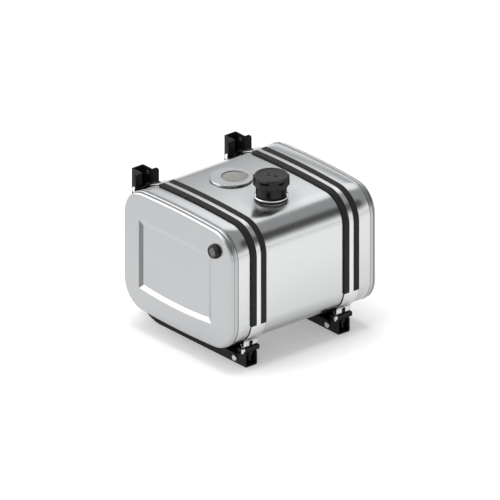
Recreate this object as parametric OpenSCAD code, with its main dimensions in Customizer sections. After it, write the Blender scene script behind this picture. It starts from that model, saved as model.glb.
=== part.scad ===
// Side-mounted hydraulic oil reservoir: pressed aluminium tank, two L brackets,
// two strap bands, filler breather cap, return filter, sight gauge and drain.
// +X runs along the tank, -Y is the outer long side, +Y faces the vehicle frame.
// The origin is the centre of the four frame bolt holes, on the mounting face.

/* [Tank] */
// Overall length between the two end panels
tank_l = 615; // [520:5:800]
// Depth from the outer side to the frame side
tank_w = 550; // [500:5:620]
// Height of the tank
tank_h = 432; // [410:2:480]
// Corner radius of the section
corner_r = 97.5; // [85:0.5:110]
// Sheet thickness of the shell and end caps
sheet_t = 3; // [2.5:0.5:4]
// Depth of an end cap from its panel to the seam
cap_d = 27.5; // [26:0.5:34]
// Rounding of the end cap's rim
rim_r = 11; // [8:1:14]
// Depth of the recess pressed in each end panel
recess_d = 5; // [3:0.5:8]
// Width of the recess's sloping sides
recess_w = 16; // [12:1:22]

/* [Filler] */
// Filler centre along the tank
fill_x = -12; // [-40:1:40]
// Filler centre across the tank
fill_y = -122; // [-130:1:-118]
// Radius of the bright neck flange
neck_r = 58; // [56:0.5:60]
// Height of the cap above the tank's crown
cap_h = 83.5; // [78:0.5:90]

/* [Filter] */
// Filter cover centre along the tank
filt_x = -16; // [-30:1:10]
// Filter cover centre across the tank
filt_y = 76; // [66:1:78]
// Radius of the clamp ring
ring_r = 72; // [71.5:0.5:76]
// Shift of the cover's window along the tank
cover_dx = 8.5; // [0:0.5:8.5]
// Shift of the cover's window across the tank
cover_dy = -7; // [-7:0.5:0]

/* [Sight gauge] */
// Gauge centre across the end panel
gauge_y = -190; // [-202:1:-188]
// Gauge centre height above the tank's bottom
gauge_z = 353; // [350:1:364]
// Gauge bezel radius
gauge_r = 25; // [22:0.5:26]

/* [Brackets] */
// Spacing of the two brackets along the tank
span = 393; // [360:1:420]
// Outer width of the channel web
web_w = 51; // [48:1:56]
// Overall width across the turned-out lips
lip_w = 100; // [90:1:110]
// Channel depth
chan_d = 52; // [50:1:54]
// Plate thickness of the brackets
plate_t = 5; // [4:0.5:6]
// Vertical spacing of the frame bolt holes
bolt_dz = 160; // [120:10:180]
// Diameter of the frame bolt holes
bolt_d = 14; // [11:0.5:15]

/* [Straps] */
// Width of the steel band
band_w = 59; // [54:1:60]
// Thickness of the steel band
band_t = 2; // [1.5:0.1:2.2]
// Overall width over the rubber edging
trim_w = 64; // [62:1:70]
// Width of band left showing between the edgings
show_w = 19.5; // [15:0.5:25]

/* [Hidden] */
$fn = 96;

// Section geometry, with y across the tank and z up from the tank's bottom
back_face = tank_w / 2 + 62;
hole_z = 230;
cy = tank_w / 2 - corner_r;
cz_lo = corner_r;
cz_hi = tank_h - corner_r;
half_l = tank_l / 2;
seam_x = half_l - cap_d;
foot_z = -74;
tip_y = -240;
bend_r = 150;
top_z = 437;
lip_y = back_face - chan_d;
lip_z = foot_z + chan_d;
pin_y = 315;
pin_z = 368;
head_y = -230.5;
head_z = 4;
plate_top = -5.8;
return_z = 304;

// Places a part that is drawn from the tank's bottom centre
module at_tank() translate([0, -back_face, -hole_z]) children();
// Turns a drawing in (y, z) so that its extrusion runs along +X
module along_x(x0 = 0) translate([x0, 0, 0]) rotate([90, 0, 90]) children();

// Filled tank section, grown by g
module section2d(g = 0) {
  translate([-tank_w / 2 - g, cz_lo]) square([tank_w + 2 * g, cz_hi - cz_lo]);
  translate([-cy, -g]) square([2 * cy, tank_h + 2 * g]);
  for (s = [-1, 1], z = [cz_lo, cz_hi]) translate([s * cy, z]) circle(r = corner_r + g);
}

// Sweeps a cross-section (outward distance, distance along X) round the tank section
module sweep_section() {
  along_x() for (k = [0 : 3]) translate([(k == 0 || k == 3) ? cy : -cy, k < 2 ? cz_hi : cz_lo, 0])
    rotate([0, 0, k * 90]) rotate_extrude(angle = 90) translate([corner_r, 0]) children();
  for (s = [0, 1]) mirror([0, s, 0])
    translate([0, 0, cz_lo]) mirror([1, -1, 0]) linear_extrude(cz_hi - cz_lo) translate([tank_w / 2, 0]) children();
  translate([0, 0, tank_h / 2]) for (s = [0, 1]) mirror([0, 0, s])
    translate([0, -cy, tank_h / 2]) rotate([-90, -90, 0]) linear_extrude(2 * cy) children();
}

module tube(r1, r2, h) difference() {
  cylinder(r = r2, h = h);
  translate([0, 0, -1]) cylinder(r = r1, h = h + 2);
}
module hex(af, h) cylinder(d = af / cos(30), h = h, $fn = 6);

// Round wire coil: mean radius r, wire radius w, height h over n turns
module coil(r, w, h, n, seg = 16, sides = 6) {
  steps = n * seg;
  pts = [for (i = [0 : steps], j = [0 : sides - 1])
    let (a = i * 360 / seg, b = j * 360 / sides, q = r + w * cos(b))
    [q * cos(a), q * sin(a), w + (h - 2 * w) * i / steps + w * sin(b)]];
  faces = concat(
    [for (i = [0 : steps - 1], j = [0 : sides - 1])
      let (k = (j + 1) % sides) [i * sides + j, i * sides + k, (i + 1) * sides + k, (i + 1) * sides + j]],
    [[for (j = [sides - 1 : -1 : 0]) j]], [[for (j = [0 : sides - 1]) steps * sides + j]]);
  polyhedron(points = pts, faces = [for (f = faces) [for (i = [len(f) - 1 : -1 : 0]) f[i]]]);
}

// ---------- Tank shell ----------
module shell() color("silver") at_tank() difference() {
  translate([-seam_x, 0, 0]) sweep_section() translate([-sheet_t, 0]) square([sheet_t, 2 * seam_x]);
  translate([fill_x, fill_y, tank_h - 20]) cylinder(r = 52, h = 40);
  translate([filt_x, filt_y, tank_h - 20]) cylinder(r = 70, h = 40);
  translate([0, 0, -10]) cylinder(r = 18, h = 20);
  translate([filt_x, tank_w / 2 - 10, return_z]) rotate([-90, 0, 0]) cylinder(r = 24, h = 20);
  translate([62, tank_w / 2 - 10, 120]) rotate([-90, 0, 0]) cylinder(r = 34, h = 20);
}

// Cross-section of an end cap's skirt: rim, groove, bead and inner lip
module skirt2d() polygon(concat(
  [[-22, 0]],
  [for (a = [-90 : 15 : 0]) [-rim_r + rim_r * cos(a), rim_r + rim_r * sin(a)]],
  [[-1.2, rim_r + 1], [-1.2, rim_r + 2], [0, rim_r + 3.5], [1.2, 18], [1.2, 20], [0, 23.5], [0, cap_d - 0.3],
   [-sheet_t - 0.3, cap_d - 0.3], [-sheet_t - 0.3, cap_d + 12], [-2 * sheet_t, cap_d + 12], [-2 * sheet_t, cap_d - 3], [-sheet_t, cap_d - 6]],
  [for (a = [0 : -15 : -90]) [-rim_r + (rim_r - sheet_t) * cos(a), rim_r + (rim_r - sheet_t) * sin(a)]],
  [[-22, sheet_t]]));

// Outline of the pressed recess, drawn in by g
module recess2d(g = 0) intersection() {
  translate([-170 + g, 40]) square([365 - 2 * g, 330]);
  translate([12, 76 + g + 1740]) circle(r = 1740, $fn = 720);
  translate([12, 334 - g - 3900]) circle(r = 3900, $fn = 720);
}
// Dished recess, sloping in by recess_w over its depth
module dish(x0, g0) hull() {
  along_x(x0) linear_extrude(0.01) recess2d(g0);
  along_x(x0 + recess_d) linear_extrude(0.01) recess2d(g0 + recess_w);
}

module end_cap(gauge = false) {
  sweep_section() skirt2d();
  difference() {
    union() {
      along_x() linear_extrude(sheet_t) section2d(-20);
      dish(sheet_t - 0.01, -0.5);
    }
    dish(-0.01, 0);
    if (gauge) translate([-1, gauge_y, gauge_z]) rotate([0, 90, 0]) cylinder(r = 15.6, h = sheet_t + 2);
  }
}
module end_cap_near() color("gainsboro") at_tank() translate([-half_l, 0, 0]) end_cap(true);
module end_cap_far() color("gainsboro") at_tank() mirror([1, 0, 0]) translate([-half_l, 0, 0]) end_cap(false);

// Slosh baffle: plate with a flow hole, corner windows and an oil gap below
module baffle(x0) color("lightgray") at_tank() along_x(x0) linear_extrude(2.5) difference() {
  section2d(-sheet_t - 0.6);
  for (y = [-110, 110]) translate([y, 216]) circle(r = 42);
  for (y = [-200, 200]) translate([y, 80]) circle(r = 24);
  translate([-60, -1]) square([120, 30]);
  translate([-60, tank_h - 28]) square([120, 30]);
}
module baffle_near() baffle(-112.5);
module baffle_far() baffle(110);

// ---------- Filler neck and strainer ----------
module at_fill() at_tank() translate([fill_x, fill_y, 0]) children();
neck_top = tank_h + 10;
module filler_neck() color("whitesmoke") at_fill() rotate_extrude() polygon([
  [44, 402], [51.6, 402], [51.6, tank_h + 1], [48, tank_h + 2], [48, neck_top - 3], [neck_r - 2, neck_top - 2.5], [neck_r, neck_top - 1], [neck_r, neck_top + 2],
  [neck_r - 1, neck_top + 3], [neck_r - 3, neck_top + 3], [neck_r - 3.6, neck_top], [44, neck_top], [44, 406], [40, 406], [40, 402]]);
// Rubber boot between the roof and the neck's rim
module neck_boot() color("black") at_fill() rotate_extrude() polygon([
  [48.15, tank_h + 2.3], [51.7, tank_h + 1.3], [51.7, tank_h + 0.1], [53, tank_h + 0.1], [53, tank_h + 2.5], [56, neck_top - 3.4], [56, neck_top - 2.8], [48.15, neck_top - 3.2]]);

module strainer_basket() color("darkgray") at_fill() difference() {
  union() {
    translate([0, 0, 407.8]) tube(34.5, 39.5, 2);
    translate([0, 0, 250]) tube(35, 36.2, 159.8);
    translate([0, 0, 248.5]) cylinder(r = 36.2, h = 2);
    translate([0, 0, 406.3]) tube(35, 43.4, 1.5);
  }
  for (k = [0 : 7], z = [262, 312, 362]) rotate([0, 0, k * 45]) translate([30, -9, z]) cube([10, 18, 38]);
  for (k = [0 : 5]) rotate([0, 0, k * 60]) translate([20, 0, 240]) cylinder(r = 7, h = 20);
}

// ---------- Breather cap ----------
cap_top = tank_h + cap_h;
skirt_z = neck_top + 5.8;
head_z0 = cap_top - 34.5;
module cap_gasket() color("black") at_fill() translate([0, 0, neck_top + 0.1]) tube(44.5, 50, 5.4);
module seal_plate() color("dimgray") at_fill() translate([0, 0, 432]) difference() {
  cylinder(r = 38.6, h = 4);
  translate([0, 0, -1]) cylinder(r = 9, h = 6);
  for (k = [0 : 5]) rotate([0, 0, k * 60 + 30]) translate([31, 0, -1]) cylinder(r = 4, h = 6);
}
module breather_element() color("tan") at_fill() translate([0, 0, 436.3]) tube(23, 37.5, 52);
module spring_cage() color("dimgray") at_fill() {
  translate([0, 0, 466]) tube(4.1, 20, 3);
  for (k = [0 : 2]) rotate([0, 0, k * 120]) translate([16, -3, 436]) cube([4, 6, 30.5]);
}
module relief_poppet() color("peru") at_fill() {
  translate([0, 0, 436.1]) cylinder(r = 13.5, h = 3);
  translate([0, 0, 439]) cylinder(r = 4, h = 36);
}
module relief_spring() color("lightsteelblue") at_fill() translate([0, 0, 439.4]) coil(8, 0.9, 26.3, 5);

// Grip: skirt with ribs and six wide slots, flared head with hand lugs, vent pockets and a dished top
module cap_shell() color([0.13, 0.13, 0.13]) at_fill() difference() {
  union() {
    translate([0, 0, skirt_z]) cylinder(r = 50, h = cap_top - skirt_z - 4);
    translate([0, 0, head_z0 - 6.5]) cylinder(r1 = 50, r2 = 56.5, h = 6.5);
    translate([0, 0, head_z0 - 0.01]) cylinder(r = 56.5, h = 4);
    translate([0, 0, head_z0 + 3.9]) cylinder(r1 = 56.5, r2 = 55.5, h = 6);
    translate([0, 0, head_z0 + 9]) cylinder(r = 55.5, h = cap_top - head_z0 - 11.5);
    translate([0, 0, cap_top - 2.51]) cylinder(r1 = 55.5, r2 = 53.5, h = 2.51);
    for (k = [0 : 5]) rotate([0, 0, k * 60 + 21]) {
      intersection() {
        translate([0, 0, head_z0 + 1]) cylinder(r = 60, h = cap_top - head_z0 - 5);
        translate([40, -13, head_z0 + 1]) cube([24, 26, cap_top - head_z0 - 5]);
      }
    }
    for (k = [0 : 5], d = [-12, 12]) rotate([0, 0, k * 60 + 38 + d]) translate([49.3, -2, skirt_z + 1]) cube([1.9, 4, head_z0 - skirt_z - 4]);
  }
  translate([0, 0, cap_top - 2.2]) cylinder(r = 47, h = 3);
  translate([0, 0, skirt_z - 1]) cylinder(r = 46, h = cap_top - skirt_z - 5);
  for (k = [0 : 5]) rotate([0, 0, k * 60 + 28]) translate([52, -13.5, cap_top - 17]) cube([12, 27, 8]);
  for (k = [0 : 5]) rotate([0, 0, k * 60 + 40]) translate([47.6, -6.5, skirt_z + 3]) cube([10, 13, head_z0 - skirt_z - 12]);
}
module cap_thread() color([0.2, 0.2, 0.2]) at_fill() translate([0, 0, 420]) tube(39, 43.92, cap_top - 6.2 - 420);

// ---------- Return filter ----------
module at_filt() at_tank() translate([filt_x, filt_y, 0]) children();
module screw_ring(r = 62.5, n = 6) for (k = [0 : n - 1]) rotate([0, 0, (k + 0.5) * 360 / n]) translate([r, 0, 0]) children();
module filter_flange() color("silver") at_filt() difference() {
  union() {
    translate([0, 0, 421]) tube(46, 69.5, 12);
    translate([0, 0, tank_h + 0.1]) tube(46, ring_r - 4, 2.6);
  }
  translate([0, 0, 420]) screw_ring() cylinder(r = 2.6, h = 20);
  translate([0, 0, 428.4]) cylinder(r = 49.5, h = 8);
}
module cover_gasket() color("black") at_filt() translate([0, 0, tank_h + 2.8]) difference() {
  tube(52.5, 67.5, 0.8);
  translate([0, 0, -1]) screw_ring() cylinder(r = 3.4, h = 4);
}
// The window for the cover sits off the ring's middle
module at_window() translate([cover_dx, cover_dy, 0]) children();
module clamp_ring() color("silver") at_filt() difference() {
  translate([0, 0, tank_h + 3.7]) union() {
    cylinder(r = ring_r, h = 2.6);
    cylinder(r = ring_r - 0.8, h = 3.4);
  }
  translate([0, 0, tank_h]) at_window() cylinder(r = 45, h = 10);
  translate([0, 0, tank_h]) screw_ring() cylinder(r = 3.3, h = 10);
  translate([0, 0, tank_h + 4.6]) screw_ring() cylinder(r = 5.6, h = 10);
}
module inspection_cover() color([0.72, 0.70, 0.66]) at_filt() {
  translate([0, 0, 431.4]) cylinder(r = 49.2, h = tank_h + 3.55 - 431.4);
  translate([0, 0, tank_h + 3.4]) at_window() cylinder(r = 37, h = 1);
  translate([0, 0, tank_h + 3.8]) at_window() cylinder(r = 44.2, h = 1.4);
  translate([0, 0, tank_h + 5.1]) at_window() tube(38, 39.6, 0.4);
}
module cover_screws() color("gray") at_filt() translate([0, 0, tank_h]) screw_ring() {
  translate([0, 0, 4.7]) difference() {
    cylinder(r = 5.3, h = 2.3);
    translate([0, 0, 1]) hex(5, 2);
  }
  translate([0, 0, -10]) cylinder(r = 2.5, h = 14.9);
}
module filter_bowl() color("lightslategray") at_filt() difference() {
  union() {
    translate([0, 0, 190]) cylinder(r = 44, h = 240);
    translate([0, 0, 428.6]) cylinder(r = 49.2, h = 2.4);
  }
  translate([0, 0, 192.5]) cylinder(r = 41.5, h = 250);
  for (k = [0 : 7]) rotate([0, 0, k * 45]) translate([30, 0, 180]) cylinder(r = 6, h = 20);
  translate([0, 30, return_z]) rotate([-90, 0, 0]) cylinder(r = 17, h = 30);
}
module filter_element() color("beige") at_filt() translate([0, 0, 196]) {
  difference() {
    cylinder(r = 31, h = 162);
    translate([0, 0, -1]) cylinder(r = 17, h = 164);
    for (k = [0 : 23]) rotate([0, 0, k * 15]) translate([28, -1.2, 5]) cube([6, 2.4, 152]);
  }
  translate([0, 0, -2]) tube(17, 33, 2);
  translate([0, 0, 162]) cylinder(r = 33, h = 3);
}
module filter_spring() color("lightsteelblue") at_filt() translate([0, 0, 361.3]) coil(16, 1.5, 69.6, 6);

// Weld boss with a plain bore, on the frame side
module boss(r_out, r_in, len_in, len_out) rotate([-90, 0, 0]) translate([0, 0, -len_in]) tube(r_in, r_out, len_in + len_out);
module return_port() color("silver") at_tank() translate([filt_x, tank_w / 2, return_z]) boss(23.8, 15.15, 8, 14);
module return_pipe() color("silver") at_tank() translate([filt_x, filt_y + 36, return_z]) rotate([-90, 0, 0])
  tube(13.5, 16.6, tank_w / 2 - 8.2 - filt_y - 36);
module suction_port() color("silver") at_tank() translate([62, tank_w / 2, 120]) boss(33.8, 22.4, 22, 14);
module suction_strainer() color("darkgray") at_tank() translate([62, tank_w / 2 - 22.2, 120]) rotate([90, 0, 0]) difference() {
  union() {
    tube(24.5, 30, 14);
    translate([0, 0, 14]) tube(26, 30, 120);
    translate([0, 0, 132]) cylinder(r = 30, h = 3);
  }
  for (k = [0 : 9], z = [20, 76]) rotate([0, 0, k * 36]) translate([22, -5, z]) cube([12, 10, 48]);
}

// ---------- Sight gauge ----------
module at_gauge() at_tank() translate([-half_l, gauge_y, gauge_z]) rotate([0, -90, 0]) children();
module gauge_body() color([0.1, 0.1, 0.1]) at_gauge() difference() {
  union() {
    translate([0, 0, 1.4]) cylinder(r = gauge_r, h = 5);
    translate([0, 0, 6.4]) cylinder(r = gauge_r - 1.5, h = 8.6, $fn = 8);
    translate([0, 0, -18]) cylinder(r = 15, h = 20);
  }
  translate([0, 0, 8]) cylinder(r = 15.5, h = 10);
  translate([0, 0, -19]) cylinder(r = 10, h = 40);
}
module gauge_seal() color("black") at_gauge() translate([0, 0, 0.05]) tube(15.1, 23, 1.3);
module gauge_lens() color([0.5, 0.55, 0.55, 0.5]) at_gauge() translate([0, 0, 9.2]) cylinder(r = 15.3, h = 3.6);
module gauge_reflector() color("black") at_gauge() translate([0, 0, 8.1]) difference() {
  cylinder(r = 15.2, h = 1);
  for (k = [0 : 5]) rotate([0, 0, k * 60]) translate([9.5, 0, -1]) cylinder(r = 3.4, h = 3);
}
module gauge_nut() color("gray") at_gauge() translate([0, 0, -sheet_t - 8.2]) difference() {
  hex(40, 8);
  translate([0, 0, -1]) cylinder(r = 15.05, h = 10);
}

// ---------- Drain ----------
module drain_boss() color("silver") at_tank() translate([0, 0, -8]) difference() {
  union() { tube(11.1, 24, 7.8); tube(11.1, 17.8, 16); }
}
module drain_washer() color("peru") at_tank() translate([0, 0, -9.9]) tube(11.15, 16, 1.6);
module drain_plug() color("gray") at_tank() {
  translate([0, 0, -22]) hex(27, 12);
  translate([0, 0, -10.01]) cylinder(r = 11, h = 14);
}

// ---------- Brackets ----------
// Band of thickness t just inside an L path at y = yb, z = zb, with bend radius r
module l_band(yb, zb, r, t) {
  translate([yb - t, zb + r]) square([t, top_z - zb - r]);
  translate([tip_y, zb]) square([yb - r - tip_y, t]);
  translate([yb - r, zb + r]) intersection() {
    difference() { circle(r = r); circle(r = r - t); }
    translate([0, -r - 1]) square([r + 1, r + 1]);
  }
}
module bracket(x0) color([0.08, 0.08, 0.08]) at_tank() translate([x0, 0, 0]) difference() {
  union() {
    along_x(-web_w / 2) linear_extrude(web_w) l_band(back_face, foot_z, bend_r, plate_t);
    for (s = [-1, 1]) {
      along_x(s * (web_w - plate_t) / 2 - plate_t / 2) linear_extrude(plate_t) l_band(back_face, foot_z, bend_r, chan_d);
      lw = (lip_w - web_w) / 2 + plate_t;
      along_x(s * (lip_w - lw) / 2 - lw / 2) linear_extrude(lw) l_band(lip_y + plate_t, lip_z - plate_t, bend_r - chan_d + plate_t, plate_t);
    }
  }
  // frame bolt holes
  for (dz = [-1, 1]) translate([0, back_face + 1, hole_z + dz * bolt_dz / 2]) rotate([90, 0, 0]) cylinder(d = bolt_d, h = plate_t + 2);
  // strap pin and hanging hole
  translate([-60, pin_y, pin_z]) rotate([0, 90, 0]) cylinder(r = 6.1, h = 120);
  translate([-60, 306, 419]) rotate([0, 90, 0]) cylinder(r = 5.5, h = 120);
  // leg cross bolt
  translate([-60, -190, -53]) rotate([0, 90, 0]) cylinder(r = 6.1, h = 120);
  // lips stop short of the leg's tip, and their upper corners are rounded
  for (s = [-1, 1]) {
    translate([s > 0 ? web_w / 2 : -lip_w, tip_y - 1, lip_z - plate_t - 1]) cube([lip_w - web_w / 2, 26, plate_t + 2]);
    translate([s * (lip_w / 2 - 12), lip_y - 1, top_z - 12]) rotate([-90, 0, 0]) difference() {
      translate([s > 0 ? 0 : -13, -13, 0]) cube([13, 13, plate_t + 2]);
      translate([0, 0, -1]) cylinder(r = 12, h = plate_t + 4);
    }
  }
}
module bracket_near() bracket(-span / 2);
module bracket_far() bracket(span / 2);
module at_each() for (s = [-1, 1]) translate([s * span / 2, 0, 0]) children();

module back_pads() color([0.15, 0.15, 0.15]) at_tank() at_each()
  translate([-48, tank_w / 2 + 0.2, 110]) cube([96, lip_y - tank_w / 2 - 0.3, 215]);
module cradle_pads() color([0.15, 0.15, 0.15]) at_tank() at_each() difference() {
  translate([-48, -172, lip_z + 0.1]) cube([96, 344, 60]);
  along_x(-60) linear_extrude(120) section2d(0.2);
  translate([-60, -172, 6]) cube([120, 344, 100]);
}

// ---------- Straps ----------
module sector(a0, a1, r) polygon(concat([[0, 0]], [for (k = [0 : 4]) let (a = a0 + (a1 - a0) * k / 4) 1.3 * r * [cos(a), sin(a)]]));
module arc_band(y, z, r1, r2, a0, a1) translate([y, z]) intersection() {
  difference() { circle(r = r2); circle(r = r1); }
  sector(a0, a1, r2);
}
pin_lr = 6.3;
tail_a = atan2(pin_z - cz_hi, pin_y - cy) + acos((corner_r + 2.3 - pin_lr) / norm([pin_y - cy, pin_z - cz_hi]));
end_a = acos((-head_y + 6.3 - cy) / (corner_r + 2.3));
// Band between radial offsets g1 and g2, from the back corner over the top to the front
module over_tank(g1, g2, back_a, front_a) {
  arc_band(cy, cz_hi, corner_r + g1, corner_r + g2, back_a, 90);
  translate([-cy, tank_h + g1]) square([2 * cy, g2 - g1]);
  arc_band(-cy, cz_hi, corner_r + g1, corner_r + g2, 90, 180);
  translate([-tank_w / 2 - g2, cz_lo]) square([g2 - g1, cz_hi - cz_lo]);
  arc_band(-cy, cz_lo, corner_r + g1, corner_r + g2, 180, 180 + front_a);
}
module strap(x0) color("lightgray") at_tank() translate([x0, 0, 0]) difference() {
  intersection() {
    along_x(-band_w / 2) linear_extrude(band_w) {
      over_tank(2.3, 2.3 + band_t, tail_a, end_a);
      // tail, tangent to the corner and to the pin
      p = [cy, cz_hi] + (corner_r + 2.3) * [cos(tail_a), sin(tail_a)];
      q = [pin_y, pin_z] + pin_lr * [cos(tail_a), sin(tail_a)];
      n = band_t * [cos(tail_a), sin(tail_a)];
      polygon([p, q, q + n, p + n]);
      arc_band(pin_y, pin_z, pin_lr, pin_lr + band_t, tail_a - 250, tail_a - 120);
      arc_band(pin_y, pin_z, pin_lr, pin_lr + band_t, tail_a - 125, tail_a);
      // lower loop round the T-bolt's head
      zt = cz_lo - (corner_r + 2.3) * sin(end_a);
      translate([head_y - 6.3 - band_t, head_z]) square([band_t, zt - head_z + 1.2]);
      arc_band(head_y, head_z, 6.3, 6.3 + band_t, -180, 0);
      translate([head_y + 6.3, head_z - 0.5]) square([band_t, 4.5]);
    }
    translate([0, 0, -60]) linear_extrude(600) polygon([[-29.5, -300], [29.5, -300], [29.5, 235], [18, 272], [18, 340], [-18, 340], [-18, 272], [-29.5, 235]]);
  }
  // window for the T-bolt's shank
  translate([-8, head_y - 20, head_z - 30]) cube([16, 40, 44]);
}
module strap_near() strap(-span / 2);
module strap_far() strap(span / 2);

module strap_edging(x0) color([0.16, 0.16, 0.16]) at_tank() translate([x0, 0, 0]) for (s = [0, 1]) mirror([s, 0, 0]) difference() {
  along_x(show_w / 2) linear_extrude((trim_w - show_w) / 2) over_tank(0.3, 6.5, 84, 7.5);
  along_x(show_w / 2 - 1) linear_extrude((band_w - show_w) / 2 + 1.2) over_tank(2.1, 2.5 + band_t, 60, 20);
}
module strap_edging_near() strap_edging(-span / 2);
module strap_edging_far() strap_edging(span / 2);

// Cross pin with a domed head, and its nut
module strap_pins() color("gainsboro") at_tank() at_each() translate([0, pin_y, pin_z]) rotate([0, 90, 0]) {
  translate([0, 0, -web_w / 2 - 6]) cylinder(r = 6, h = web_w + 20);
  translate([0, 0, -web_w / 2 - 8.2]) cylinder(r1 = 7, r2 = 10.5, h = 3);
  translate([0, 0, -web_w / 2 - 5.21]) cylinder(r = 10.5, h = 5.01);
}
module pin_nuts() color("gainsboro") at_tank() at_each() translate([web_w / 2 + 0.2, pin_y, pin_z]) rotate([0, 90, 0]) difference() {
  hex(19, 10);
  translate([0, 0, -1]) cylinder(r = 6.1, h = 12);
}
module t_bolts() color("gainsboro") at_tank() at_each() {
  translate([-30, head_y, head_z]) rotate([0, 90, 0]) cylinder(r = 6, h = 60);
  translate([0, head_y, -56]) cylinder(r = 5, h = 58);
}
// Black saddle across the leg's tip, turned up at its far end
module tension_saddle(x0) color([0.1, 0.1, 0.1]) at_tank() translate([x0, 0, 0]) difference() {
  union() {
    translate([-30.4, tip_y, lip_z + 0.1]) cube([66.9, 26, 4.6]);
    translate([28.2, tip_y, lip_z + 0.1]) cube([8.3, 26, 15]);
  }
  translate([0, head_y, -40]) cylinder(r = 6, h = 40);
}
module tension_saddle_near() tension_saddle(-span / 2);
module tension_saddle_far() tension_saddle(span / 2);
// Plated spreader block on the saddle, its near end reaching down to the leg
module tension_plate(x0) color("gainsboro") at_tank() translate([x0, 0, 0]) difference() {
  union() {
    translate([-36, tip_y + 0.5, lip_z + 4.8]) cube([64, 25, plate_top - lip_z - 4.8]);
    translate([-36, tip_y + 0.5, lip_z + 0.2]) cube([5.4, 25, plate_top - lip_z - 0.2]);
  }
  translate([0, head_y, -40]) cylinder(r = 6, h = 40);
}
module tension_plate_near() tension_plate(-span / 2);
module tension_plate_far() tension_plate(span / 2);
module tension_washer(x0) color("gainsboro") at_tank() translate([x0, head_y, lip_z - 2.4]) tube(5.1, 11, 2.2);
module tension_washer_near() tension_washer(-span / 2);
module tension_washer_far() tension_washer(span / 2);
module tension_nut(x0) color("gainsboro") at_tank() translate([x0, head_y, lip_z - 12.7]) difference() {
  hex(17, 10);
  translate([0, 0, -1]) cylinder(r = 5.08, h = 12);
}
module tension_nut_near() tension_nut(-span / 2);
module tension_nut_far() tension_nut(span / 2);

module leg_bolts() color("gainsboro") at_tank() at_each() translate([0, -190, -53]) rotate([0, 90, 0]) {
  translate([0, 0, -web_w / 2 - 1]) cylinder(r = 6, h = web_w + 16);
  translate([0, 0, -web_w / 2 - 6.7]) cylinder(r1 = 9, r2 = 10.5, h = 2);
  translate([0, 0, -web_w / 2 - 4.71]) cylinder(r = 10.5, h = 4.51);
}
module leg_nuts() color("gainsboro") at_tank() at_each() translate([web_w / 2 + 0.2, -190, -53]) rotate([0, 90, 0]) difference() {
  hex(19, 10);
  translate([0, 0, -1]) cylinder(r = 6.1, h = 12);
}

shell();
end_cap_near();
end_cap_far();
baffle_near();
baffle_far();
filler_neck();
neck_boot();
strainer_basket();
cap_gasket();
seal_plate();
breather_element();
spring_cage();
relief_poppet();
relief_spring();
cap_shell();
cap_thread();
filter_flange();
cover_gasket();
clamp_ring();
inspection_cover();
cover_screws();
filter_bowl();
filter_element();
filter_spring();
return_port();
return_pipe();
suction_port();
suction_strainer();
gauge_body();
gauge_lens();
gauge_reflector();
gauge_seal();
gauge_nut();
drain_boss();
drain_washer();
drain_plug();
bracket_near();
bracket_far();
back_pads();
cradle_pads();
strap_near();
strap_far();
strap_edging_near();
strap_edging_far();
strap_pins();
pin_nuts();
t_bolts();
tension_saddle_near();
tension_saddle_far();
tension_plate_near();
tension_plate_far();
tension_washer_near();
tension_washer_far();
tension_nut_near();
tension_nut_far();
leg_bolts();
leg_nuts();
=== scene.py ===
import bpy, bmesh, math
from mathutils import Matrix, Vector


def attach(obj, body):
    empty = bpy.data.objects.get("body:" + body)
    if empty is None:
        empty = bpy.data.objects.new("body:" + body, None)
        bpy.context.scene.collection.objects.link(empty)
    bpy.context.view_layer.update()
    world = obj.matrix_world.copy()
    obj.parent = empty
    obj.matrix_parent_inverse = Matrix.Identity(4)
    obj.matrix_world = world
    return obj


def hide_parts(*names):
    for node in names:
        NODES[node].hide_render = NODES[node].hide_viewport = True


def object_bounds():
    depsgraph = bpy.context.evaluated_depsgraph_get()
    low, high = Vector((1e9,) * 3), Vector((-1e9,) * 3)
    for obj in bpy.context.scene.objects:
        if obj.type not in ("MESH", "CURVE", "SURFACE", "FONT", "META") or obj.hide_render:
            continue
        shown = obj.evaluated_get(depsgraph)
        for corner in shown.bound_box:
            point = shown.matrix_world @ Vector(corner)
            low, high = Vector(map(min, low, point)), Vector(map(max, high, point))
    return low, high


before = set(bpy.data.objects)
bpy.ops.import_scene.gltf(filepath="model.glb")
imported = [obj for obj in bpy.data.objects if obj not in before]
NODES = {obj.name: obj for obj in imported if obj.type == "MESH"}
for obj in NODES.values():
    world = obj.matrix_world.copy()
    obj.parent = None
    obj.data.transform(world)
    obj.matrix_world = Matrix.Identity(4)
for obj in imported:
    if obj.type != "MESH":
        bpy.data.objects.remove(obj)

CAD_LO, CAD_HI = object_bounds()
PI = math.pi
BACK, HOLE_Z = 337.0, 230.0


def T(x, y, z):
    """Millimetres from the tank's bottom centre to metres in the row frame."""
    return Vector((x / 1000.0, (y - BACK) / 1000.0, (z - HOLE_Z) / 1000.0))


# ---------------------------------------------------------------- camera
def make_camera():
    cam = bpy.data.cameras.new("camera")
    obj = bpy.data.objects.new("camera", cam)
    bpy.context.scene.collection.objects.link(obj)
    cam.type = "ORTHO"
    cam.ortho_scale = 1.625
    a, e = math.radians(-40), math.radians(25)
    back = Vector((math.sin(a) * math.cos(e), -math.cos(a) * math.cos(e), math.sin(e)))
    obj.location = T(0, 0, 197.3) + back * 3.0
    obj.rotation_mode = "QUATERNION"
    obj.rotation_quaternion = (-back).to_track_quat("-Z", "Y")
    cam.clip_start, cam.clip_end = 0.05, 60
    cam.dof.use_dof = False
    bpy.context.scene.camera = obj


make_camera()


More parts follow.
